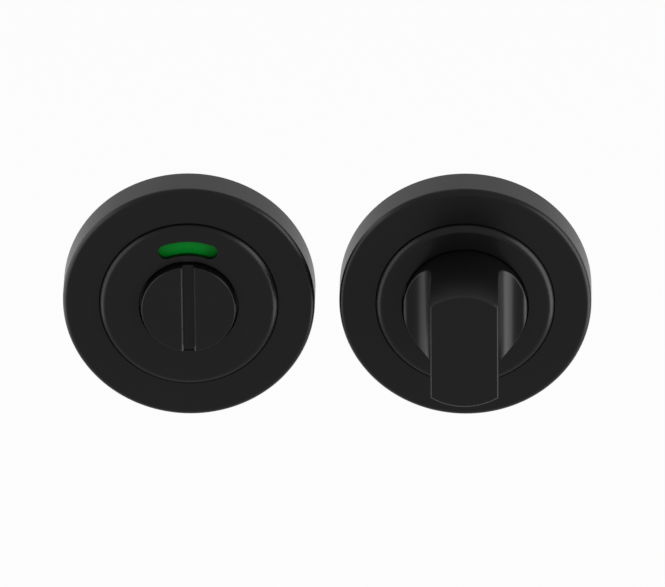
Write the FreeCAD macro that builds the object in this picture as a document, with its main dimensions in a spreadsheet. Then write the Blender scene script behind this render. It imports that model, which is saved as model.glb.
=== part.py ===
"""Turn and release set for a bathroom door: a thumb turn rose and a coin release rose.

Every piece is drawn in a rose frame: local X runs across the door, local Y is up, and local Z
stands out from the door, with the door face at Z = 0. A quarter turn about X then puts the piece
in the part's own frame, where +Z is up and the roses face -Y. The origin is where the thumb
turn's axis meets the door face.
"""
import FreeCAD
import Part

import math
import os

import Sketcher

# Driving dimensions, in millimetres and degrees.
SIZES = {
    # Rose cover: a pressed shell that hides the fixings
    "rose_radius": 26.0,
    "rose_gap": 5.0,
    "rose_height": 8.0,
    "cover_wall": 1.4,
    "cover_edge_round": 1.2,
    "cover_hole_radius": 18.4,
    "cover_hole_chamfer": 0.12,
    # Centre plate: a raised insert held behind the cover's hole
    "insert_gap": 0.06,
    "insert_rise": 1.2,
    "insert_wall": 1.2,
    "shoulder_width": 1.5,
    "shoulder_height": 1.1,
    "insert_flange_thickness": 1.0,
    "insert_hole_round": 0.15,
    # Base plate: carries the bearing and takes the fixing screws
    "cover_clearance": 0.2,
    "base_floor": 2.2,
    "base_rim_width": 1.3,
    "base_rim_height": 4.6,
    "boss_radius": 11.0,
    "bolt_spacing": 38.0,
    "bolt_hole_diameter": 4.3,
    "countersink_diameter": 8.0,
    "pad_width": 3.2,
    "pad_half_angle": 13.0,
    "rib_width": 1.6,
    # Snap ring: a split wire ring that holds the cover on the base plate
    "ring_wire_radius": 0.45,
    "ring_height": 1.8,
    "ring_clearance": 0.05,
    "ring_split_angle": 24.0,
    # Shaft and bearing, alike in both halves
    "shaft_radius": 5.0,
    "shaft_recess": 0.3,
    "running_clearance": 0.05,
    "bush_wall": 1.2,
    "bush_flange_radius": 8.0,
    "bush_flange_thickness": 0.8,
    "spring_thickness": 0.4,
    "spring_rise": 0.6,
    "flat_half_width": 4.2,
    # Stop washer and retaining ring behind the bearing
    "stop_pocket_depth": 2.0,
    "stop_pocket_radius": 7.8,
    "stop_washer_thickness": 0.7,
    "stop_washer_radius": 7.3,
    "stop_lug_radius": 9.4,
    "stop_lug_half_angle": 12.0,
    "stop_play_angle": 0.3,
    "travel_angle": 90.0,
    "clip_thickness": 0.6,
    "clip_groove_depth": 0.6,
    "clip_radius": 6.2,
    "clip_gap_half_angle": 14.0,
    "clip_ear_radius": 1.1,
    "clip_ear_hole_radius": 0.45,
    # Thumb turn
    "knob_foot_radius": 12.8,
    "knob_gap": 0.2,
    "knob_radius": 12.6,
    "knob_reach": 30.2,
    "blade_width": 13.8,
    "scoop_foot": 10.8,
    "scoop_lip": 1.4,
    "lip_run": 1.25,
    "knob_end_round": 0.6,
    "knob_edge_round": 0.3,
    # Spindle and its pin
    "spindle_width": 5.0,
    "spindle_corner": 0.4,
    "spindle_reach": 38.0,
    "socket_clearance": 0.1,
    "socket_end": 7.5,
    "pin_radius": 0.75,
    "pin_bore_radius": 0.4,
    "pin_height": 4.0,
    # Coin release
    "coin_radius": 9.75,
    "coin_gap": 0.45,
    "coin_reach": 10.9,
    "coin_edge_round": 0.35,
    "slot_width": 2.3,
    "slot_depth": 1.2,
    "slot_bevel": 0.3,
    # Indicator behind the window
    "window_radius": 13.2,
    "window_width": 3.2,
    "window_half_angle": 20.0,
    "indicator_gap": 0.3,
    "indicator_radius": 16.4,
    "indicator_thickness": 0.8,
    "indicator_hub_radius": 6.4,
    "indicator_flat": 5.5,
    "film_thickness": 0.15,
    "film_inner_radius": 10.3,
    "film_edge_margin": 0.2,
    "film_half_angle": 38.0,
}

# Room left beyond a face so that a cut always clears it
OVERSHOOT = 1.0
# How near an edge lies to the place that a test asks for
NEAR = 0.01
# Pads and ribs stand evenly round the axis, from a first one halfway between the screws
SPOKES = 4
FIRST_SPOKE = 45
COUNTERSINK_ANGLE = 90
# Directions round the rose axis, as seen from the front
UP = 90
DOWN = -90

os.makedirs("parts", exist_ok=True)
doc = FreeCAD.newDocument("TurnAndRelease")
sheet = doc.addObject("Spreadsheet::Sheet", "Sizes")
for row, (name, value) in enumerate(SIZES.items(), start=1):
    sheet.set(f"A{row}", name)
    sheet.set(f"B{row}", str(value))
    sheet.setAlias(f"B{row}", name)
doc.recompute()


class Size:
    """A length or an angle that knows its value and the sheet expression it comes from."""

    def __init__(self, value, text):
        self.value = value
        self.text = text

    def __add__(self, other):
        other = as_size(other)
        return Size(self.value + other.value, f"({self.text} + {other.text})")

    def __sub__(self, other):
        other = as_size(other)
        return Size(self.value - other.value, f"({self.text} - {other.text})")

    def __mul__(self, other):
        other = as_size(other)
        return Size(self.value * other.value, f"({self.text} * {other.text})")

    def __truediv__(self, other):
        other = as_size(other)
        return Size(self.value / other.value, f"({self.text} / {other.text})")

    def __neg__(self):
        return Size(-self.value, f"(-{self.text})")


def as_size(number):
    """A plain number takes part in the same sums as the sheet's sizes."""
    if isinstance(number, Size):
        return number
    return Size(float(number), str(float(number)))


def cosine(angle):
    return Size(math.cos(math.radians(angle.value)), f"cos({angle.text})")


def sine(angle):
    return Size(math.sin(math.radians(angle.value)), f"sin({angle.text})")


def on_circle(radius, angle):
    """The sketch point at this radius and this angle from the sketch's first axis."""
    return (radius * cosine(angle), radius * sine(angle))


class Sheet:
    """Each driving dimension by its name, read back from the spreadsheet."""

    def __getattr__(self, name):
        return Size(float(getattr(sheet, name)), f"{sheet.Name}.{name}")


s = Sheet()

# From the axis of one half to the axis of the other
rose_spacing = s.rose_radius * 2 + s.rose_gap

# Heights above the door face, worked down from the rose's front
cover_inner_radius = s.rose_radius - s.cover_wall
cover_front_back = s.rose_height - s.cover_wall
insert_radius = s.cover_hole_radius - s.insert_gap
insert_front = s.rose_height + s.insert_rise
insert_back = insert_front - s.insert_wall
insert_flange_radius = (s.cover_hole_radius + cover_inner_radius) / 2
insert_flange_bottom = cover_front_back - s.insert_flange_thickness
film_front = insert_back - s.indicator_gap
indicator_front = film_front - s.film_thickness
seat = indicator_front - s.indicator_thickness
bush_front = seat - s.running_clearance - s.spring_thickness - s.spring_rise
boss_front = bush_front - s.bush_flange_thickness
bush_radius = s.shaft_radius + s.running_clearance + s.bush_wall
stop_washer_front = s.stop_pocket_depth - s.running_clearance
stop_washer_back = stop_washer_front - s.stop_washer_thickness
clip_front = stop_washer_back - s.running_clearance
clip_back = clip_front - s.clip_thickness
clip_groove_radius = s.shaft_radius - s.clip_groove_depth

# The base plate's edge and the snap ring between it and the cover
base_radius = cover_inner_radius - s.cover_clearance
ring_radius = cover_inner_radius - s.cover_clearance / 2
ring_room = s.ring_wire_radius + s.ring_clearance


def set_size(thing, name, size):
    """Ties a property to the sheet, or sets it where it is a plain number."""
    size = as_size(size)
    thing.setExpression(name, size.text)


def new_body(label, beside=False):
    """A sub-part in the rose frame. Those of the release stand one spacing to the left."""
    body = doc.addObject("PartDesign::Body", "Body")
    body.Label = label
    body.Placement = FreeCAD.Placement(
        FreeCAD.Vector(0, 0, 0), FreeCAD.Rotation(FreeCAD.Vector(1, 0, 0), 90)
    )
    if beside:
        set_size(body, "Placement.Base.x", -rose_spacing)
    return body


def origin_part(body, role):
    """One of the body's own origin planes or axes."""
    return [part for part in body.Origin.OriginFeatures if part.Role == role][0]


def new_sketch(body, role="XY_Plane", lift=None):
    """A sketch on one of the body's origin planes, lifted along the plane's normal."""
    sketch = body.newObject("Sketcher::SketchObject", "Sketch")
    sketch.AttachmentSupport = (origin_part(body, role), "")
    sketch.MapMode = "FlatFace"
    if lift is not None:
        set_size(sketch, "AttachmentOffset.Base.z", lift)
    return sketch


def tie_point(sketch, geometry, end, place):
    """Holds one end, or the centre, of a sketch line, arc or circle at its place."""
    for kind, distance in zip(("DistanceX", "DistanceY"), place):
        distance = as_size(distance)
        index = sketch.addConstraint(
            Sketcher.Constraint(kind, -1, 1, geometry, end, distance.value)
        )
        sketch.setExpression(f"Constraints[{index}]", distance.text)


def tie_radius(sketch, geometry, radius):
    index = sketch.addConstraint(
        Sketcher.Constraint("Radius", geometry, as_size(radius).value)
    )
    sketch.setExpression(f"Constraints[{index}]", as_size(radius).text)


def plain_point(place):
    x, y = place
    return FreeCAD.Vector(as_size(x).value, as_size(y).value, 0)


def arc_between(start, end, radius):
    """The minor arc from start to end, turning left for a positive radius."""
    chord = end - start
    across = FreeCAD.Vector(-chord.y, chord.x, 0) / chord.Length
    rise = math.sqrt(max(radius**2 - chord.Length**2 / 4, 0))
    centre = (start + end) / 2 + across * math.copysign(rise, radius)
    first, last = (start, end) if radius > 0 else (end, start)
    angles = [math.atan2(p.y - centre.y, p.x - centre.x) for p in (first, last)]
    circle = Part.Circle(centre, FreeCAD.Vector(0, 0, 1), abs(radius))
    return Part.ArcOfCircle(circle, *angles)


def outline(sketch, corners):
    """A closed outline. A third value at a corner bends the run to the next one to that radius."""
    runs = []
    for corner, following in zip(corners, corners[1:] + corners[:1]):
        start, end = plain_point(corner[:2]), plain_point(following[:2])
        if len(corner) == 3:
            radius = as_size(corner[2])
            index = sketch.addGeometry(arc_between(start, end, radius.value), False)
            starts, ends = (1, 2) if radius.value > 0 else (2, 1)
        else:
            index = sketch.addGeometry(Part.LineSegment(start, end), False)
            starts, ends = 1, 2
        runs.append((index, starts, ends))
    for (index, starts, ends), (after, after_starts, after_ends) in zip(
        runs, runs[1:] + runs[:1]
    ):
        sketch.addConstraint(
            Sketcher.Constraint("Coincident", index, ends, after, after_starts)
        )
    for (index, starts, ends), corner in zip(runs, corners):
        tie_point(sketch, index, starts, corner[:2])
        if len(corner) == 3:
            size = as_size(corner[2])
            tie_radius(sketch, index, size if size.value > 0 else -size)


def circle(sketch, place, radius):
    index = sketch.addGeometry(
        Part.Circle(plain_point(place), FreeCAD.Vector(0, 0, 1), as_size(radius).value),
        False,
    )
    tie_point(sketch, index, 3, place)
    tie_radius(sketch, index, radius)


def turned(body, corners, kind="Revolution", angle=360.0):
    """Turns an outline of (radius, height) corners about the rose axis."""
    sketch = new_sketch(body, "XZ_Plane")
    outline(sketch, corners)
    feature = body.newObject(f"PartDesign::{kind}", kind)
    feature.Profile = sketch
    feature.ReferenceAxis = (origin_part(body, "Z_Axis"), [""])
    set_size(feature, "Angle", angle)
    sketch.Visibility = False
    doc.recompute()
    return feature


def pad(body, sketch, length, both_ways=False):
    """Fills an outline to this height above its sketch, or half of it to each side."""
    feature = body.newObject("PartDesign::Pad", "Pad")
    feature.Profile = sketch
    feature.SideType = "Symmetric" if both_ways else "One side"
    set_size(feature, "Length", length)
    doc.recompute()
    return feature


def cut(body, sketch, depth=None, both_ways=False, forward=False):
    """Cuts an outline below its sketch, or forward of it, and checks that it took something."""
    before = body.Shape.Volume
    feature = body.newObject("PartDesign::Pocket", "Pocket")
    feature.Profile = sketch
    feature.Reversed = forward
    feature.SideType = "Symmetric" if both_ways else "One side"
    if depth is None:
        feature.Type = "ThroughAll"
    else:
        set_size(feature, "Length", depth)
    doc.recompute()
    if not body.Shape.Volume < before:
        raise RuntimeError(f"{feature.Label} cuts nothing from {body.Label}")
    return feature


def repeated(body, feature, count):
    """Repeats a feature evenly round the rose axis."""
    pattern = body.newObject("PartDesign::PolarPattern", "PolarPattern")
    pattern.Originals = [feature]
    pattern.Axis = (origin_part(body, "Z_Axis"), [""])
    pattern.Angle = 360
    pattern.Occurrences = count
    body.Tip = pattern
    doc.recompute()
    return pattern


def mirrored(body, feature, role="YZ_Plane"):
    pattern = body.newObject("PartDesign::Mirrored", "Mirrored")
    pattern.Originals = [feature]
    pattern.MirrorPlane = (origin_part(body, role), [""])
    body.Tip = pattern
    doc.recompute()
    return pattern


def edges_where(feature, test):
    """The names of a feature's edges that pass a test."""
    return [
        f"Edge{number}"
        for number, edge in enumerate(feature.Shape.Edges, start=1)
        if test(edge)
    ]


def rim_at(radius, height):
    """A test for the round edge of this radius at this height."""

    def test(edge):
        return (
            isinstance(edge.Curve, Part.Circle)
            and abs(edge.Curve.Radius - radius.value) < NEAR
            and abs(edge.Curve.Center.z - as_size(height).value) < NEAR
        )

    return test


def at_height(height):
    """A test for edges that lie wholly at this height."""

    def test(edge):
        box = edge.BoundBox
        return abs(box.ZMin - height.value) < NEAR and abs(box.ZMax - height.value) < NEAR

    return test


def softened(body, feature, tests, size, kind="Fillet"):
    """Rounds or chamfers the edges that pass any of the tests."""
    names = edges_where(feature, lambda edge: any(test(edge) for test in tests))
    if not names:
        raise RuntimeError(f"no edge of {body.Label} is where it should be")
    dressing = body.newObject(f"PartDesign::{kind}", kind)
    dressing.Base = (feature, names)
    set_size(dressing, "Radius" if kind == "Fillet" else "Size", size)
    doc.recompute()
    return dressing


def rose_cover(label, beside):
    """A round shell, open behind, with a hole for the centre plate and a groove for the ring."""
    body = new_body(label, beside)
    shell = turned(
        body,
        [
            (cover_inner_radius, 0),
            (s.rose_radius, 0),
            (s.rose_radius, s.rose_height),
            (s.cover_hole_radius, s.rose_height),
            (s.cover_hole_radius, cover_front_back),
            (cover_inner_radius, cover_front_back),
        ],
    )
    edge = softened(body, shell, [rim_at(s.rose_radius, s.rose_height)], s.cover_edge_round)
    softened(
        body,
        edge,
        [rim_at(s.cover_hole_radius, s.rose_height)],
        s.cover_hole_chamfer,
        "Chamfer",
    )
    turned(
        body,
        [
            (cover_inner_radius - OVERSHOOT, s.ring_height - ring_room),
            (ring_radius + ring_room, s.ring_height - ring_room),
            (ring_radius + ring_room, s.ring_height + ring_room),
            (cover_inner_radius - OVERSHOOT, s.ring_height + ring_room),
        ],
        "Groove",
    )
    return body


def centre_plate(label, beside, hole_radius):
    """A shallow cup with a wide soft shoulder, whose flange lies against the cover's back."""
    body = new_body(label, beside)
    shoulder_radius = (
        s.shoulder_width * s.shoulder_width + s.shoulder_height * s.shoulder_height
    ) / (s.shoulder_height * 2)
    cup = turned(
        body,
        [
            (hole_radius, insert_back),
            (insert_radius - s.insert_wall, insert_back),
            (insert_radius - s.insert_wall, insert_flange_bottom),
            (insert_flange_radius, insert_flange_bottom),
            (insert_flange_radius, cover_front_back),
            (insert_radius, cover_front_back),
            (insert_radius, insert_front - s.shoulder_height, shoulder_radius),
            (insert_radius - s.shoulder_width, insert_front),
            (hole_radius, insert_front),
        ],
    )
    softened(body, cup, [rim_at(hole_radius, insert_front)], s.insert_hole_round)
    return body


def cut_window(body):
    """A kidney slot round the axis, above the hole, through which the indicator shows."""
    half_width = s.window_width / 2
    inner = s.window_radius - half_width
    outer = s.window_radius + half_width
    corners = []
    for side in (1, -1):
        end = as_size(UP) - s.window_half_angle * side
        centre = on_circle(s.window_radius, end)
        tip = (
            centre[0] + half_width * sine(end) * side,
            centre[1] - half_width * cosine(end) * side,
        )
        first, last = (inner, outer) if side > 0 else (outer, inner)
        along = outer if side > 0 else -inner
        corners.append(on_circle(first, end) + (half_width,))
        corners.append(tip + (half_width,))
        corners.append(on_circle(last, end) + (along,))
    sketch = new_sketch(body, "XY_Plane", insert_front)
    outline(sketch, corners)
    return cut(body, sketch)


def base_plate(label, beside, travel_sign):
    """A moulded plate with a bearing boss, screw holes, four pads and ribs, and a ring groove."""
    body = new_body(label, beside)
    rim_inner = base_radius - s.base_rim_width
    turned(
        body,
        [
            (s.stop_pocket_radius, 0),
            (base_radius, 0),
            (base_radius, s.base_rim_height),
            (rim_inner, s.base_rim_height),
            (rim_inner, s.base_floor),
            (s.boss_radius, s.base_floor),
            (s.boss_radius, boss_front),
            (bush_radius, boss_front),
            (bush_radius, s.stop_pocket_depth),
            (s.stop_pocket_radius, s.stop_pocket_depth),
        ],
    )
    add_pads(body)
    add_ribs(body, rim_inner)
    turned(
        body,
        [
            (ring_radius - ring_room, s.ring_height - ring_room),
            (base_radius + OVERSHOOT, s.ring_height - ring_room),
            (base_radius + OVERSHOOT, s.ring_height + ring_room),
            (ring_radius - ring_room, s.ring_height + ring_room),
        ],
        "Groove",
    )
    cut_stop_pocket(body, travel_sign)
    drill_screw_holes(body)
    return body


def add_pads(body):
    """Four curved pads, between the screws, that hold the centre plate's flange forward."""
    outer = insert_flange_radius - s.cover_clearance * 2
    inner = outer - s.pad_width
    middle = as_size(FIRST_SPOKE)
    sketch = new_sketch(body)
    outline(
        sketch,
        [
            on_circle(inner, middle - s.pad_half_angle),
            on_circle(outer, middle - s.pad_half_angle) + (outer,),
            on_circle(outer, middle + s.pad_half_angle),
            on_circle(inner, middle + s.pad_half_angle) + (-inner,),
        ],
    )
    return repeated(body, pad(body, sketch, insert_flange_bottom), SPOKES)


def add_ribs(body, rim_inner):
    """Four ribs from the boss to the rim, halfway up the boss."""
    sketch = new_sketch(body)
    half = s.rib_width / 2
    start = s.boss_radius - s.rib_width
    end = rim_inner + s.base_rim_width / 2
    turn = as_size(FIRST_SPOKE)
    corners = []
    for along, across in ((start, -half), (end, -half), (end, half), (start, half)):
        corners.append(
            (
                along * cosine(turn) - across * sine(turn),
                along * sine(turn) + across * cosine(turn),
            )
        )
    outline(sketch, corners)
    return repeated(body, pad(body, sketch, (boss_front + s.base_floor) / 2), SPOKES)


def cut_stop_pocket(body, travel_sign):
    """A sector behind the boss, in which the stop washer's lug swings through its travel."""
    middle = as_size(DOWN) + s.travel_angle * travel_sign / 2
    half = s.travel_angle / 2 + s.stop_lug_half_angle + s.stop_play_angle
    reach = s.stop_lug_radius + s.stop_pocket_radius - s.stop_washer_radius
    inner = (s.shaft_radius + s.stop_pocket_radius) / 2
    sketch = new_sketch(body)
    outline(
        sketch,
        [
            on_circle(inner, middle - half),
            on_circle(reach, middle - half) + (reach,),
            on_circle(reach, middle + half),
            on_circle(inner, middle + half) + (-inner,),
        ],
    )
    return cut(body, sketch, s.stop_pocket_depth, forward=True)


def drill_screw_holes(body):
    """Two countersunk holes for the screws that clamp the roses to the door."""
    sketch = new_sketch(body, "XY_Plane", s.base_floor)
    for side in (1, -1):
        circle(sketch, (s.bolt_spacing * side / 2, 0), s.bolt_hole_diameter / 2)
    doc.recompute()
    hole = body.newObject("PartDesign::Hole", "Hole")
    hole.Profile = sketch
    hole.DepthType = "ThroughAll"
    hole.ThreadType = "None"
    hole.HoleCutType = "Countersink"
    hole.HoleCutCustomValues = True
    hole.HoleCutCountersinkAngle = COUNTERSINK_ANGLE
    set_size(hole, "Diameter", s.bolt_hole_diameter)
    set_size(hole, "HoleCutDiameter", s.countersink_diameter)
    doc.recompute()
    return hole


def bearing_bush(label, beside):
    """A flanged bush in the base plate's boss. The shaft runs in it."""
    body = new_body(label, beside)
    bore = s.shaft_radius + s.running_clearance
    turned(
        body,
        [
            (bore, s.stop_pocket_depth),
            (bush_radius, s.stop_pocket_depth),
            (bush_radius, boss_front),
            (s.bush_flange_radius, boss_front),
            (s.bush_flange_radius, bush_front),
            (bore, bush_front),
        ],
    )
    return body


def cone_spring(label, beside):
    """A coned spring washer that takes up the play between the bush and the turning piece."""
    body = new_body(label, beside)
    inner = s.shaft_radius + s.running_clearance * 4
    outer = s.bush_flange_radius - s.running_clearance * 4
    turned(
        body,
        [
            (outer, bush_front),
            (outer, bush_front + s.spring_thickness),
            (inner, bush_front + s.spring_thickness + s.spring_rise),
            (inner, bush_front + s.spring_rise),
        ],
    )
    return body


def flatted_bore(sketch, radius, half_width):
    """A round bore with two flats, one above and one below the axis."""
    edge = Size(
        math.sqrt(radius.value**2 - half_width.value**2),
        f"sqrt({radius.text}^2 - {half_width.text}^2)",
    )
    outline(
        sketch,
        [
            (edge, half_width),
            (-edge, half_width, radius),
            (-edge, -half_width),
            (edge, -half_width, radius),
        ],
    )


def stop_washer(label, beside):
    """A washer keyed to the shaft by two flats, with a lug that swings between two stops."""
    body = new_body(label, beside)
    ring = new_sketch(body, "XY_Plane", stop_washer_back)
    circle(ring, (0, 0), s.stop_washer_radius)
    flatted_bore(ring, s.shaft_radius, s.flat_half_width)
    pad(body, ring, s.stop_washer_thickness)
    inner = (s.shaft_radius + s.stop_washer_radius) / 2
    first = as_size(DOWN) - s.stop_lug_half_angle
    last = as_size(DOWN) + s.stop_lug_half_angle
    lug = new_sketch(body, "XY_Plane", stop_washer_back)
    outline(
        lug,
        [
            on_circle(inner, first),
            on_circle(s.stop_lug_radius, first) + (s.stop_lug_radius,),
            on_circle(s.stop_lug_radius, last),
            on_circle(inner, last) + (-inner,),
        ],
    )
    pad(body, lug, s.stop_washer_thickness)
    return body


def retaining_ring(label, beside):
    """A spring clip in the shaft's groove, open at the top, with two eared ends."""
    body = new_body(label, beside)
    inner = clip_groove_radius + s.running_clearance / 2
    outer = s.clip_radius
    up = as_size(UP)
    first = up + s.clip_gap_half_angle
    last = up - s.clip_gap_half_angle
    left, bottom, right = up * 2, up * 3, up * 4
    ring = new_sketch(body, "XY_Plane", clip_back)
    outline(
        ring,
        [
            on_circle(outer, first) + (outer,),
            on_circle(outer, left) + (outer,),
            on_circle(outer, bottom) + (outer,),
            on_circle(outer, right) + (outer,),
            on_circle(outer, last),
            on_circle(inner, last) + (-inner,),
            on_circle(inner, right) + (-inner,),
            on_circle(inner, bottom) + (-inner,),
            on_circle(inner, left) + (-inner,),
            on_circle(inner, first),
        ],
    )
    pad(body, ring, s.clip_thickness)
    ears = new_sketch(body, "XY_Plane", clip_back)
    holes = new_sketch(body, "XY_Plane", clip_back)
    spread = s.clip_gap_half_angle + s.clip_gap_half_angle / 2
    for side in (1, -1):
        place = on_circle(outer - s.clip_ear_radius / 4, up + spread * side)
        circle(ears, place, s.clip_ear_radius)
        circle(holes, place, s.clip_ear_hole_radius)
    pad(body, ears, s.clip_thickness)
    cut(body, holes, forward=True)
    return body


def snap_ring(label, beside):
    """A round wire bent to a split ring, half in the base plate's groove and half in the cover's."""
    body = new_body(label, beside)
    sketch = new_sketch(body, "XZ_Plane")
    circle(sketch, (ring_radius, s.ring_height), s.ring_wire_radius)
    wire = body.newObject("PartDesign::Revolution", "Revolution")
    wire.Profile = sketch
    wire.ReferenceAxis = (origin_part(body, "Z_Axis"), [""])
    set_size(wire, "Angle", as_size(360) - s.ring_split_angle)
    doc.recompute()
    return body


def groove_shaft(body):
    """The ring groove near the shaft's end."""
    turned(
        body,
        [
            (clip_groove_radius, clip_back),
            (s.shaft_radius + OVERSHOOT, clip_back),
            (s.shaft_radius + OVERSHOOT, clip_front),
            (clip_groove_radius, clip_front),
        ],
        "Groove",
    )


def cut_flats(body):
    """Two flats on the shaft's end that drive the stop washer."""
    sketch = new_sketch(body)
    for side in (1, -1):
        low, high = s.flat_half_width * side, (s.shaft_radius + OVERSHOOT) * side
        wide = (s.shaft_radius + OVERSHOOT) * side
        outline(sketch, [(-wide, low), (wide, low), (wide, high), (-wide, high)])
    return cut(body, sketch, stop_washer_front, forward=True)


def square(sketch, width):
    half = width / 2
    outline(sketch, [(-half, -half), (half, -half), (half, half), (-half, half)])


def cut_socket(body):
    """The blind square hole for the spindle, from the shaft's end."""
    sketch = new_sketch(body)
    square(sketch, s.spindle_width + s.socket_clearance)
    return cut(body, sketch, s.socket_end, forward=True)


def cross_drill(body):
    """The hole for the pin, straight across the axis."""
    sketch = new_sketch(body, "YZ_Plane")
    circle(sketch, (0, s.pin_height), s.pin_radius + s.running_clearance / 2)
    return cut(body, sketch, both_ways=True)


def thumb_turn():
    """A slightly tapered blank on a shaft. Two scoops leave a blade, and run out over a lip."""
    body = new_body("thumb_turn")
    blank = turned(
        body,
        [
            (0, s.shaft_recess),
            (s.shaft_radius, s.shaft_recess),
            (s.shaft_radius, seat),
            (s.knob_foot_radius, seat),
            (s.knob_foot_radius, insert_front),
            (s.knob_radius, s.knob_reach),
            (0, s.knob_reach),
        ],
    )
    softened(body, blank, [rim_at(s.knob_radius, s.knob_reach)], s.knob_end_round)
    wall = s.blade_width / 2
    lip_start = s.knob_foot_radius - s.lip_run
    hollow_radius = lip_start - wall
    past = s.knob_foot_radius + OVERSHOOT
    above = s.knob_reach + OVERSHOOT
    sketch = new_sketch(body, "XZ_Plane")
    outline(
        sketch,
        [
            (wall, above),
            (wall, s.scoop_foot + hollow_radius, hollow_radius),
            (lip_start, s.scoop_foot, -s.scoop_lip),
            (lip_start + s.scoop_lip, s.scoop_foot - s.scoop_lip),
            (past, s.scoop_foot - s.scoop_lip),
            (past, above),
        ],
    )
    scoop = cut(body, sketch, both_ways=True)
    blade = mirrored(body, scoop)

    def bounds_scoop(edge):
        """The outer edges of both scoops, but not a seam between two faces of one scoop."""
        box = edge.BoundBox
        beside_blade = max(box.XMin, -box.XMax) > wall.value - NEAR
        level_line = isinstance(edge.Curve, Part.Line) and box.ZLength < NEAR
        seam = level_line and box.ZMax < s.knob_reach.value - NEAR
        return beside_blade and box.ZMin > insert_front.value + NEAR and not seam

    softened(body, blade, [bounds_scoop], s.knob_edge_round)
    groove_shaft(body)
    cut_flats(body)
    cut_socket(body)
    cross_drill(body)
    return body


def turn_spindle():
    """A square bar with eased corners and chamfered ends, pinned in the thumb turn's shaft."""
    body = new_body("turn_spindle")
    start = -s.spindle_reach
    sketch = new_sketch(body, "XY_Plane", start)
    square(sketch, s.spindle_width)
    top = s.socket_end - s.socket_clearance
    bar = pad(body, sketch, top - start)

    def is_corner(edge):
        return edge.BoundBox.ZLength > s.spindle_reach.value

    eased = softened(body, bar, [is_corner], s.spindle_corner)
    softened(body, eased, [at_height(start), at_height(top)], s.spindle_corner, "Chamfer")
    cross_drill(body)
    return body


def spindle_pin():
    """A slotted tube pressed through the shaft and the spindle."""
    body = new_body("spindle_pin")
    sketch = new_sketch(body, "YZ_Plane")
    circle(sketch, (0, s.pin_height), s.pin_radius)
    circle(sketch, (0, s.pin_height), s.pin_bore_radius)
    pad(body, sketch, (s.shaft_radius - s.socket_clearance) * 2, both_ways=True)
    slit = new_sketch(body, "YZ_Plane")
    half = s.pin_bore_radius / 2
    outline(
        slit,
        [
            (-half, s.pin_height),
            (half, s.pin_height),
            (half, s.pin_height + s.pin_radius * 2),
            (-half, s.pin_height + s.pin_radius * 2),
        ],
    )
    cut(body, slit, both_ways=True)
    return body


def coin_release():
    """A button on a shaft with a coin slot across its face."""
    body = new_body("coin_release", beside=True)
    turned(
        body,
        [
            (0, s.shaft_recess),
            (s.shaft_radius, s.shaft_recess),
            (s.shaft_radius, seat),
            (s.indicator_hub_radius, seat),
            (s.indicator_hub_radius, indicator_front),
            (s.coin_radius, indicator_front),
            (s.coin_radius, s.coin_reach),
            (0, s.coin_reach),
        ],
    )
    button = body.Tip
    softened(body, button, [rim_at(s.coin_radius, s.coin_reach)], s.coin_edge_round)
    half = s.slot_width / 2
    floor = s.coin_reach - s.slot_depth
    bevel_foot = s.coin_reach - s.slot_bevel
    above = s.coin_reach + OVERSHOOT
    sketch = new_sketch(body, "XZ_Plane")
    outline(
        sketch,
        [
            (-half, floor),
            (half, floor),
            (half, bevel_foot),
            (half + s.slot_bevel, s.coin_reach),
            (half + s.slot_bevel, above),
            (-half - s.slot_bevel, above),
            (-half - s.slot_bevel, s.coin_reach),
            (-half, bevel_foot),
        ],
    )
    cut(body, sketch, both_ways=True)
    flats = new_sketch(body, "XY_Plane", seat)
    reach = s.indicator_hub_radius + OVERSHOOT
    for side in (1, -1):
        low, high, wide = s.indicator_flat * side, reach * side, reach * side
        outline(flats, [(-wide, low), (wide, low), (wide, high), (-wide, high)])
    cut(body, flats, s.indicator_thickness, forward=True)
    groove_shaft(body)
    cut_flats(body)
    cut_socket(body)
    return body


def indicator_disc():
    """A disc keyed to the coin release, in front of which the two fields lie."""
    body = new_body("indicator_disc", beside=True)
    sketch = new_sketch(body, "XY_Plane", seat)
    circle(sketch, (0, 0), s.indicator_radius)
    flatted_bore(sketch, s.indicator_hub_radius, s.indicator_flat)
    pad(body, sketch, s.indicator_thickness)
    return body


def indicator_field(label, middle):
    """A thin coloured field on the indicator disc."""
    body = new_body(label, beside=True)
    outer = s.indicator_radius - s.film_edge_margin
    inner = s.film_inner_radius
    first = as_size(middle) - s.film_half_angle
    last = as_size(middle) + s.film_half_angle
    sketch = new_sketch(body, "XY_Plane", indicator_front)
    outline(
        sketch,
        [
            on_circle(inner, first),
            on_circle(outer, first) + (outer,),
            on_circle(outer, last),
            on_circle(inner, last) + (-inner,),
        ],
    )
    pad(body, sketch, s.film_thickness)
    return body


def half_set(prefix, beside, hole_radius, travel_sign):
    """The pieces that both halves of the set share."""
    plate = centre_plate(f"{prefix}_centre_plate", beside, hole_radius)
    return [
        rose_cover(f"{prefix}_cover", beside),
        plate,
        base_plate(f"{prefix}_base_plate", beside, travel_sign),
        bearing_bush(f"{prefix}_bearing_bush", beside),
        cone_spring(f"{prefix}_cone_spring", beside),
        stop_washer(f"{prefix}_stop_washer", beside),
        retaining_ring(f"{prefix}_retaining_ring", beside),
        snap_ring(f"{prefix}_snap_ring", beside),
    ]


# The thumb turn locks clockwise and the release, seen from its own side, the other way
bodies = half_set("turn", False, s.knob_foot_radius + s.knob_gap, -1)
bodies += [thumb_turn(), turn_spindle(), spindle_pin()]
release = half_set("release", True, s.coin_radius + s.coin_gap, 1)
cut_window(release[1])
bodies += release
bodies += [coin_release(), indicator_disc()]
bodies += [indicator_field("green_field", UP), indicator_field("red_field", 0)]

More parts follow.
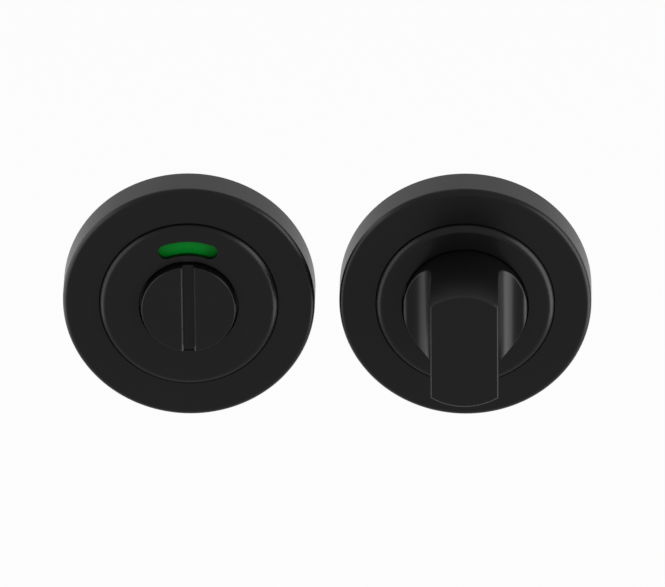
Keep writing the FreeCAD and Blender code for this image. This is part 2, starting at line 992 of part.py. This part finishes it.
doc.recompute()
for item in doc.Objects:
    if "Invalid" in item.State or "Error" in item.State:
        raise RuntimeError(f"{item.Name} ({item.Label}) failed: {item.State}")
for body in bodies:
    if body.Shape.isNull() or not body.Shape.isValid():
        raise RuntimeError(f"{body.Label} has no valid shape")
    if len(body.Shape.Solids) != 1:
        raise RuntimeError(f"{body.Label} is not one solid")
for body in bodies:
    body.Shape.exportStep(f"parts/{body.Label}.step")
    print(f"{body.Label}: {body.Shape.Volume:.1f} mm3")
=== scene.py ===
"""Looks of a bathroom turn and release set: two black powder-coated roses, side by side."""

import math

import bpy
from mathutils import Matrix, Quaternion, Vector


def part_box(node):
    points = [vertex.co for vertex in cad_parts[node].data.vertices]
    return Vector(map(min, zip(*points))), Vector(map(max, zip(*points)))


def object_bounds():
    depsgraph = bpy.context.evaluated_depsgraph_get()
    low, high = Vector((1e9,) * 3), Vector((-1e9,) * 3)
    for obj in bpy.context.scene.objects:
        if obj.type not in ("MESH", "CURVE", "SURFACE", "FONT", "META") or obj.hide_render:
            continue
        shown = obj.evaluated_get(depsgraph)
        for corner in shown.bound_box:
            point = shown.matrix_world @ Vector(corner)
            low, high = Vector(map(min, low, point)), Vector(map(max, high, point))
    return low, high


bl_info = {
    "name": "Turn and Release Set",
    "version": (1, 0, 0),
    "blender": (4, 5, 0),
    "location": "View3D > Sidebar > Turn and Release",
    "description": "Dresses a bathroom turn and release set and builds its studio",
    "category": "Object",
}

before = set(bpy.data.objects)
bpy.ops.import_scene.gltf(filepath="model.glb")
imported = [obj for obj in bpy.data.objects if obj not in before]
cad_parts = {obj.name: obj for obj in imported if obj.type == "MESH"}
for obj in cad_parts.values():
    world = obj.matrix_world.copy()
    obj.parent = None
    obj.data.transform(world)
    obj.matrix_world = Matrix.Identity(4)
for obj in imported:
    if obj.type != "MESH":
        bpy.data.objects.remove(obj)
CAD_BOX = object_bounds()

MM = 0.001

# The picture that the camera is matched to, and in it the middle between the roses, in pixels.
# Its scale is that of the plane in which the roses' fronts lie
PICTURE_WIDTH = 665
PICTURE_HEIGHT = 587
PIXELS_PER_MM = 4.852
MIDDLE_ACROSS = 326.9
MIDDLE_DOWN = 303.6

# Corners of a mesh that lie nearer than this are one, in millimetres
SEAM_WIDTH = 0.0005
# Faces that meet at more than this many degrees keep an edge between them
EDGE_ANGLE = 28

# The floor's reach in metres, and the share of it that shows as plain white, whatever falls on it
FLOOR_RADIUS = 4
FLOOR_WHITE = 0.93


def in_both(*pieces):
    """The CAD nodes of these pieces in both halves of the set."""
    return [f"{half}_{piece}" for half in ("turn", "release") for piece in pieces]


COATED_PIECES = in_both("cover", "centre_plate") + ["thumb_turn", "coin_release"]
NYLON_PIECES = in_both("base_plate")
ACETAL_PIECES = in_both("bearing_bush")
SPRING_PIECES = in_both("cone_spring", "retaining_ring", "snap_ring") + ["spindle_pin"]
PLATED_PIECES = in_both("stop_washer") + ["turn_spindle"]


def from_hex(hex_colour):
    """The sRGB red, green and blue of a hex colour, each from 0 to 1."""
    return tuple(int(hex_colour[i : i + 2], 16) / 255 for i in (1, 3, 5))


def linear(hex_colour):
    """An sRGB hex colour as the linear red, green, blue and alpha that Blender works in."""
    levels = (
        level / 12.92 if level <= 0.04045 else ((level + 0.055) / 1.055) ** 2.4
        for level in from_hex(hex_colour)
    )
    return (*levels, 1)


def as_hex(colour):
    """An sRGB colour of the panel as the hex text that linear() reads."""
    return "#" + "".join(f"{round(level * 255):02X}" for level in colour)


def add_node(tree, kind, settings=None, inputs=None):
    """Adds a shader node, applies its settings, and sets or links its inputs."""
    node = tree.nodes.new(kind)
    for name, value in (settings or {}).items():
        setattr(node, name, value)
    for name, value in (inputs or {}).items():
        if isinstance(value, bpy.types.NodeSocket):
            tree.links.new(value, node.inputs[name])
        else:
            node.inputs[name].default_value = value
    return node


def per_mm(spacing):
    """The scale of a texture whose features lie this many millimetres apart."""
    return 1 / (spacing * MM)


def place_on(tree, crowding=(1, 1, 1)):
    """Places in the object, in metres, where a pattern is this many times as fine each way."""
    coordinates = add_node(tree, "ShaderNodeTexCoord")
    mapping = add_node(
        tree,
        "ShaderNodeMapping",
        inputs={"Vector": coordinates.outputs["Object"], "Scale": crowding},
    )
    return mapping.outputs["Vector"]


def noise(tree, place, spacing, detail=2.0, roughness=0.5):
    """Soft noise with this spacing in millimetres."""
    texture = add_node(
        tree,
        "ShaderNodeTexNoise",
        inputs={
            "Vector": place,
            "Scale": per_mm(spacing),
            "Detail": detail,
            "Roughness": roughness,
        },
    )
    return texture.outputs["Fac"]


def spread(tree, value, low, high, from_low=0.3, from_high=0.7):
    """Moves a value into the range from low to high. Noise stays mostly between 0.3 and 0.7."""
    mapped = add_node(
        tree,
        "ShaderNodeMapRange",
        inputs={
            "Value": value,
            "From Min": from_low,
            "From Max": from_high,
            "To Min": low,
            "To Max": high,
        },
    )
    return mapped.outputs["Result"]


def relief(tree, height, depth, under=None):
    """Bumps of this depth in millimetres, on top of the bumps under them."""
    inputs = {"Strength": 1.0, "Distance": depth * MM, "Height": height}
    if under is not None:
        inputs["Normal"] = under
    return add_node(tree, "ShaderNodeBump", inputs=inputs).outputs["Normal"]


def tinted(tree, pattern, dark, light):
    """A colour that goes from one hex colour to another with a noise pattern."""
    # Sockets 6 and 7 of this node take the colours, and 2 gives their mix
    mixed = add_node(
        tree,
        "ShaderNodeMix",
        {"data_type": "RGBA"},
        {"Factor": spread(tree, pattern, low=0, high=1), 6: linear(dark), 7: linear(light)},
    )
    return mixed.outputs[2]


def new_material(name, surface):
    """A material with one Principled surface, whose inputs the given function makes."""
    material = bpy.data.materials.new(name)
    material.use_nodes = True
    tree = material.node_tree
    tree.nodes.clear()
    shader = add_node(tree, "ShaderNodeBsdfPrincipled", inputs=surface(tree))
    add_node(tree, "ShaderNodeOutputMaterial", inputs={"Surface": shader.outputs["BSDF"]})
    return material


def powder_coat(settings):
    """Satin black polyester powder, baked on zinc: low gloss, with a faint orange peel."""

    def surface(tree):
        place = place_on(tree)
        grain = noise(tree, place, spacing=settings.grain / MM, detail=3)
        peel = noise(tree, place, spacing=settings.peel / MM)
        bumps = relief(tree, grain, depth=settings.grain_depth / MM)
        # Its grains are this much more or less matt than the coat as a whole
        scatter = 0.03
        return {
            "Base Color": linear(as_hex(settings.colour)),
            "Roughness": spread(
                tree,
                grain,
                low=settings.roughness - scatter,
                high=settings.roughness + scatter,
            ),
            "Specular IOR Level": settings.gloss,
            "Normal": relief(tree, peel, depth=settings.peel_depth / MM, under=bumps),
        }

    return new_material("satin_black_powder_coat", surface)


def filled_nylon():
    """Black glass-filled nylon as moulded: matt, cloudy where fibres reach the surface."""

    def surface(tree):
        clouds = noise(tree, place_on(tree), spacing=4, detail=4, roughness=0.6)
        across = place_on(tree, crowding=(1, 1, 6))
        fibres = noise(tree, across, spacing=0.8, detail=3, roughness=0.7)
        return {
            "Base Color": tinted(tree, fibres, "#151516", "#232324"),
            "Roughness": spread(tree, clouds, low=0.48, high=0.62),
            "Normal": relief(tree, fibres, depth=0.004),
        }

    return new_material("black_filled_nylon", surface)


def natural_acetal():
    """Milk-white acetal from a turned mould: a dense waxy plastic with fine rings round it."""

    def surface(tree):
        clouds = noise(tree, place_on(tree), spacing=3)
        along_axis = place_on(tree, crowding=(0.05, 1, 0.05))
        rings = noise(tree, along_axis, spacing=0.15, detail=1)
        return {
            "Base Color": tinted(tree, clouds, "#DCD9D0", "#E8E6DF"),
            "Roughness": 0.38,
            "Normal": relief(tree, rings, depth=0.002),
        }

    return new_material("natural_acetal", surface)


def spring_steel():
    """Tempered spring steel: grey with a faint oil-brown cast and fine rolling lines."""

    def surface(tree):
        across = place_on(tree, crowding=(1, 1, 12))
        lines = noise(tree, across, spacing=0.5, detail=3, roughness=0.6)
        clouds = noise(tree, place_on(tree), spacing=2.5, detail=3)
        return {
            "Base Color": tinted(tree, clouds, "#77736E", "#8D8B88"),
            "Metallic": 1.0,
            "Roughness": spread(tree, lines, low=0.28, high=0.38),
            "Normal": relief(tree, lines, depth=0.0004),
        }

    return new_material("tempered_spring_steel", surface)


def zinc_plate():
    """Bright zinc plate over drawn steel: cool light grey, with faint lines along its length."""

    def surface(tree):
        cast = noise(tree, place_on(tree), spacing=5)
        drawn = noise(tree, place_on(tree, crowding=(1, 0.04, 1)), spacing=0.6)
        return {
            "Base Color": tinted(tree, cast, "#B0B4B8", "#BEC1C3"),
            "Metallic": 1.0,
            "Roughness": spread(tree, drawn, low=0.3, high=0.38),
            "Normal": relief(tree, drawn, depth=0.0004),
        }

    return new_material("bright_zinc_plate", surface)


def printed_enamel(name, colour):
    """Screen-printed enamel on a thin film: an even, slightly rippled coat that shines little."""

    def surface(tree):
        ripple = noise(tree, place_on(tree), spacing=0.7)
        return {
            "Base Color": linear(as_hex(colour)),
            "Roughness": 0.4,
            "Specular IOR Level": 0.08,
            "Normal": relief(tree, ripple, depth=0.003),
        }

    return new_material(name, surface)


def moulded_disc():
    """Black styrene from a spark-etched mould: an even dull black."""

    def surface(tree):
        sparks = noise(tree, place_on(tree), spacing=0.25, detail=3, roughness=0.6)
        return {
            "Base Color": linear("#141415"),
            "Roughness": spread(tree, sparks, low=0.5, high=0.6),
            "Normal": relief(tree, sparks, depth=0.003),
        }

    return new_material("moulded_black_styrene", surface)


def dress(node_names, material):
    """Gives CAD nodes a material, and joins their faces so that rounded edges shade smoothly."""
    for node_name in node_names:
        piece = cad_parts[node_name]
        piece.data.materials.clear()
        piece.data.materials.append(material)
        for polygon in piece.data.polygons:
            polygon.use_smooth = True
        weld = piece.modifiers.new("join_faces", "WELD")
        weld.merge_threshold = SEAM_WIDTH * MM
        split = piece.modifiers.new("keep_edges", "EDGE_SPLIT")
        split.split_angle = math.radians(EDGE_ANGLE)
        split.use_edge_sharp = False
        normals = piece.modifiers.new("even_shading", "WEIGHTED_NORMAL")
        normals.weight = 100


def colour_property(name, description, default):
    return bpy.props.FloatVectorProperty(
        name=name,
        description=description,
        subtype="COLOR_GAMMA",
        size=3,
        min=0,
        max=1,
        default=from_hex(default),
    )


def share_property(name, description, default):
    return bpy.props.FloatProperty(
        name=name, description=description, subtype="FACTOR", min=0, max=1, default=default
    )


def length_property(name, description, default):
    return bpy.props.FloatProperty(
        name=name, description=description, unit="LENGTH", precision=5, default=default
    )


def strength_property(name, description, default):
    return bpy.props.FloatProperty(name=name, description=description, min=0, default=default)


def angle_property(name, description, default):
    return bpy.props.FloatProperty(
        name=name, description=description, subtype="ANGLE", default=math.radians(default)
    )


class TurnsetCoat(bpy.types.PropertyGroup):
    """The black coat of the covers, centre plates, thumb turn and coin release"""

    colour: colour_property("Colour", "Colour of the powder", "#080808")
    roughness: share_property("Roughness", "How matt the coat is", 0.32)
    gloss: share_property("Gloss", "How strongly the coat reflects", 0.16)
    peel: length_property("Orange peel", "From one wave of the coat to the next", 0.9 * MM)
    peel_depth: length_property("Peel depth", "Height of those waves", 0.0025 * MM)
    grain: length_property("Grain", "From one grain of the coat to the next", 0.2 * MM)
    grain_depth: length_property("Grain depth", "Height of those grains", 0.0006 * MM)


class TurnsetIndicator(bpy.types.PropertyGroup):
    """The two fields that show in the window"""

    vacant: colour_property("Vacant", "Colour of the field that shows when unlocked", "#00721F")
    engaged: colour_property("Engaged", "Colour of the field that shows when locked", "#AC1015")


class TurnsetStudio(bpy.types.PropertyGroup):
    """The camera and the light"""

    azimuth: angle_property("Azimuth", "How far the camera stands to the right", 1.2)
    elevation: angle_property("Elevation", "How far the camera looks down", 27)
    distance: length_property("Distance", "From the camera to the roses", 3.0)
    roll: angle_property("Roll", "How far the camera leans to the right", 0.5)
    drop: length_property("Floor", "From the roses down to the floor", 0.7)
    sky: share_property("Sky", "Brightness of the white surroundings", 0.55)
    box_distance: length_property("Softbox distance", "From the roses to a side softbox", 0.8)
    box_height: length_property("Softbox height", "Height of a side softbox", 1.2)
    left_bearing: angle_property("Left softbox", "Its bearing from straight in front", -86)
    left_width: length_property("Left width", "Width of the left softbox", 1.1)
    left_glow: strength_property("Left glow", "Brightness of the left softbox, in whites", 2.8)
    right_bearing: angle_property("Right softbox", "Its bearing from straight in front", 71)
    right_width: length_property("Right width", "Width of the right softbox", 0.7)
    right_glow: strength_property("Right glow", "Brightness of the right softbox, in whites", 5.6)
    panel_lift: angle_property("Panel", "How high the panel behind the roses stands", 30)
    panel_glow: strength_property("Panel glow", "Brightness that the panel adds, in whites", 0.25)
    panel_distance: length_property("Panel distance", "From the roses to the panel", 1.6)
    panel_width: length_property("Panel width", "Width of the panel behind the roses", 1.6)
    panel_height: length_property("Panel height", "Height of the panel behind the roses", 0.9)


class TURNSET_OT_coated(bpy.types.Operator):
    """Coats the covers, the centre plates, the thumb turn and the coin release"""

    bl_idname = "turnset.coated"
    bl_label = "Coated pieces"

    def execute(self, context):
        dress(COATED_PIECES, powder_coat(context.scene.turnset_coat))
        return {"FINISHED"}


class TURNSET_OT_mouldings(bpy.types.Operator):
    """Dresses the base plates and the bushes in them"""

    bl_idname = "turnset.mouldings"
    bl_label = "Base plates and bushes"

    def execute(self, context):
        dress(NYLON_PIECES, filled_nylon())
        dress(ACETAL_PIECES, natural_acetal())
        return {"FINISHED"}


class TURNSET_OT_springs(bpy.types.Operator):
    """Dresses the coned springs, the retaining and snap rings and the spindle's pin"""

    bl_idname = "turnset.springs"
    bl_label = "Springs, rings and pin"

    def execute(self, context):
        dress(SPRING_PIECES, spring_steel())
        return {"FINISHED"}


class TURNSET_OT_plated(bpy.types.Operator):
    """Dresses the stop washers and the spindle"""

    bl_idname = "turnset.plated"
    bl_label = "Stop washers and spindle"

    def execute(self, context):
        dress(PLATED_PIECES, zinc_plate())
        return {"FINISHED"}


class TURNSET_OT_indicator(bpy.types.Operator):
    """Prints the red and green fields and moulds the disc under them"""

    bl_idname = "turnset.indicator"
    bl_label = "Indicator"

    def execute(self, context):
        dress(["indicator_disc"], moulded_disc())
        colours = context.scene.turnset_indicator
        dress(["green_field"], printed_enamel("green_enamel", colours.vacant))
        dress(["red_field"], printed_enamel("red_enamel", colours.engaged))
        return {"FINISHED"}


def seen_directly(tree):
    """1 for rays that show the background: from the camera, off a gloss or through glass."""
    path = add_node(tree, "ShaderNodeLightPath").outputs
    either = add_node(
        tree,
        "ShaderNodeMath",
        {"operation": "MAXIMUM"},
        {0: path["Is Camera Ray"], 1: path["Is Glossy Ray"]},
    )
    any_of_them = add_node(
        tree,
        "ShaderNodeMath",
        {"operation": "MAXIMUM"},
        {0: either.outputs[0], 1: path["Is Transmission Ray"]},
    )
    return any_of_them.outputs[0]


def build_floor(settings):
    """A pale floor far enough below the roses that their soft shadow falls out of the picture."""
    lowest = CAD_BOX[0][2]
    bpy.ops.mesh.primitive_circle_add(
        vertices=128,
        radius=FLOOR_RADIUS,
        fill_type="NGON",
        location=(0, 0, lowest - settings.drop),
    )
    floor = bpy.context.object
    floor.name = "floor"
    material = bpy.data.materials.new("pale_floor")
    material.use_nodes = True
    tree = material.node_tree
    tree.nodes.clear()
    shade = add_node(tree, "ShaderNodeBsdfDiffuse", inputs={"Color": linear("#F4F4F4")})
    glow = add_node(
        tree, "ShaderNodeEmission", inputs={"Color": linear("#FFFFFF"), "Strength": 1.0}
    )
    share = add_node(
        tree, "ShaderNodeMath", {"operation": "MULTIPLY"}, {0: seen_directly(tree), 1: FLOOR_WHITE}
    )
    both = add_node(
        tree,
        "ShaderNodeMixShader",
        inputs={0: share.outputs[0], 1: shade.outputs[0], 2: glow.outputs[0]},
    )
    add_node(tree, "ShaderNodeOutputMaterial", inputs={"Surface": both.outputs[0]})
    floor.data.materials.append(material)


def build_world(scene, settings):
    """White surroundings: plain light on the object, and pure white where they show."""
    world = bpy.data.worlds.new("white_studio")
    scene.world = world
    world.use_nodes = True
    tree = world.node_tree
    tree.nodes.clear()
    strength = spread(
        tree, seen_directly(tree), low=settings.sky, high=1, from_low=0, from_high=1
    )
    sky = add_node(
        tree, "ShaderNodeBackground", inputs={"Color": linear("#FFFFFF"), "Strength": strength}
    )
    add_node(tree, "ShaderNodeOutputWorld", inputs={"Surface": sky.outputs[0]})


def towards(bearing, lift):
    """The direction at this bearing from straight in front and this lift above it."""
    return Vector(
        (
            math.sin(bearing) * math.cos(lift),
            -math.cos(bearing) * math.cos(lift),
            math.sin(lift),
        )
    )


def add_softbox(name, bearing, lift, glow, distance, width, height):
    """A softbox in this direction from the roses, as many times as bright as white as its glow."""
    lamp = bpy.data.lights.new(name, "AREA")
    lamp.shape = "RECTANGLE"
    lamp.size = width
    lamp.size_y = height
    lamp.energy = glow * math.pi * width * height
    box = bpy.data.objects.new(name, lamp)
    bpy.context.scene.collection.objects.link(box)
    centre = (Vector(CAD_BOX[0]) + Vector(CAD_BOX[1])) / 2
    away = towards(bearing, lift)
    box.location = centre + away * distance
    box.rotation_euler = (-away).to_track_quat("-Z", "Y").to_euler()
    return box


def keep_off(node_names, lamps):
    """Keeps these lamps' light off bright pieces, which would burn out in it."""
    spared = bpy.data.collections.new("bright_pieces")
    for node_name in node_names:
        spared.objects.link(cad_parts[node_name])
    for entry in spared.collection_objects:
        entry.light_linking.link_state = "EXCLUDE"
    for lamp in lamps:
        lamp.light_linking.receiver_collection = spared


def build_camera(scene, settings):
    """A long lens at the picture's scale, aimed so that both roses lie where they do in it."""
    camera = bpy.data.cameras.new("camera")
    holder = bpy.data.objects.new("camera", camera)
    scene.collection.objects.link(holder)
    scene.camera = holder
    back = towards(settings.azimuth, settings.elevation)
    right = Vector((math.cos(settings.azimuth), math.sin(settings.azimuth), 0))
    up = back.cross(right)
    left_low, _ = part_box("release_cover")
    right_low, right_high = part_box("turn_cover")
    middle = Vector(
        (
            (left_low[0] + right_high[0]) / 2,
            right_low[1],
            (right_low[2] + right_high[2]) / 2,
        )
    )
    pixel = MM / PIXELS_PER_MM
    across = (PICTURE_WIDTH / 2 - MIDDLE_ACROSS) * pixel
    above = (MIDDLE_DOWN - PICTURE_HEIGHT / 2) * pixel
    aim = middle + right * across + up * above
    holder.location = aim + back * settings.distance
    upright = (-back).to_track_quat("-Z", "Y")
    holder.rotation_euler = (upright @ Quaternion((0, 0, 1), -settings.roll)).to_euler()
    camera.lens = camera.sensor_width * settings.distance / (PICTURE_WIDTH * pixel)


class TURNSET_OT_studio(bpy.types.Operator):
    """Builds the floor, the white surroundings, the softboxes and the camera"""

    bl_idname = "turnset.studio"
    bl_label = "Studio"

    def execute(self, context):
        scene = context.scene
        settings = scene.turnset_studio
        scene.view_settings.view_transform = "Standard"
        build_floor(settings)
        build_world(scene, settings)
        sides = (
            ("left_softbox", settings.left_bearing, settings.left_glow, settings.left_width),
            ("right_softbox", settings.right_bearing, settings.right_glow, settings.right_width),
        )
        softboxes = [
            add_softbox(
                name,
                bearing=bearing,
                lift=0,
                glow=glow,
                distance=settings.box_distance,
                width=width,
                height=settings.box_height,
            )
            for name, bearing, glow, width in sides
        ]
        keep_off(ACETAL_PIECES + SPRING_PIECES + PLATED_PIECES, softboxes)
        add_softbox(
            "rim_panel",
            bearing=math.pi,
            lift=settings.panel_lift,
            glow=settings.panel_glow,
            distance=settings.panel_distance,
            width=settings.panel_width,
            height=settings.panel_height,
        )
        build_camera(scene, settings)
        return {"FINISHED"}


class TURNSET_PT_panel(bpy.types.Panel):
    """The coat, the studio and the steps that build the set"""

    bl_idname = "TURNSET_PT_panel"
    bl_label = "Turn and Release"
    bl_space_type = "VIEW_3D"
    bl_region_type = "UI"
    bl_category = "Turn and Release"

    def draw(self, context):
        for name, group in GROUPS.items():
            for setting in group.__annotations__:
                self.layout.prop(getattr(context.scene, name), setting)
        for step in STEPS:
            self.layout.operator(step.bl_idname)


GROUPS = {
    "turnset_coat": TurnsetCoat,
    "turnset_indicator": TurnsetIndicator,
    "turnset_studio": TurnsetStudio,
}
STEPS = (
    TURNSET_OT_coated,
    TURNSET_OT_mouldings,
    TURNSET_OT_springs,
    TURNSET_OT_plated,
    TURNSET_OT_indicator,
    TURNSET_OT_studio,
)
CLASSES = (*GROUPS.values(), *STEPS, TURNSET_PT_panel)


def register():
    for item in CLASSES:
        bpy.utils.register_class(item)
    for name, group in GROUPS.items():
        setattr(bpy.types.Scene, name, bpy.props.PointerProperty(type=group))


def unregister():
    for name in GROUPS:
        delattr(bpy.types.Scene, name)
    for item in reversed(CLASSES):
        bpy.utils.unregister_class(item)


def main():
    register()
    bpy.ops.turnset.coated()
    bpy.ops.turnset.mouldings()
    bpy.ops.turnset.springs()
    bpy.ops.turnset.plated()
    bpy.ops.turnset.indicator()
    bpy.ops.turnset.studio()


if __name__ == "__main__":
    main()
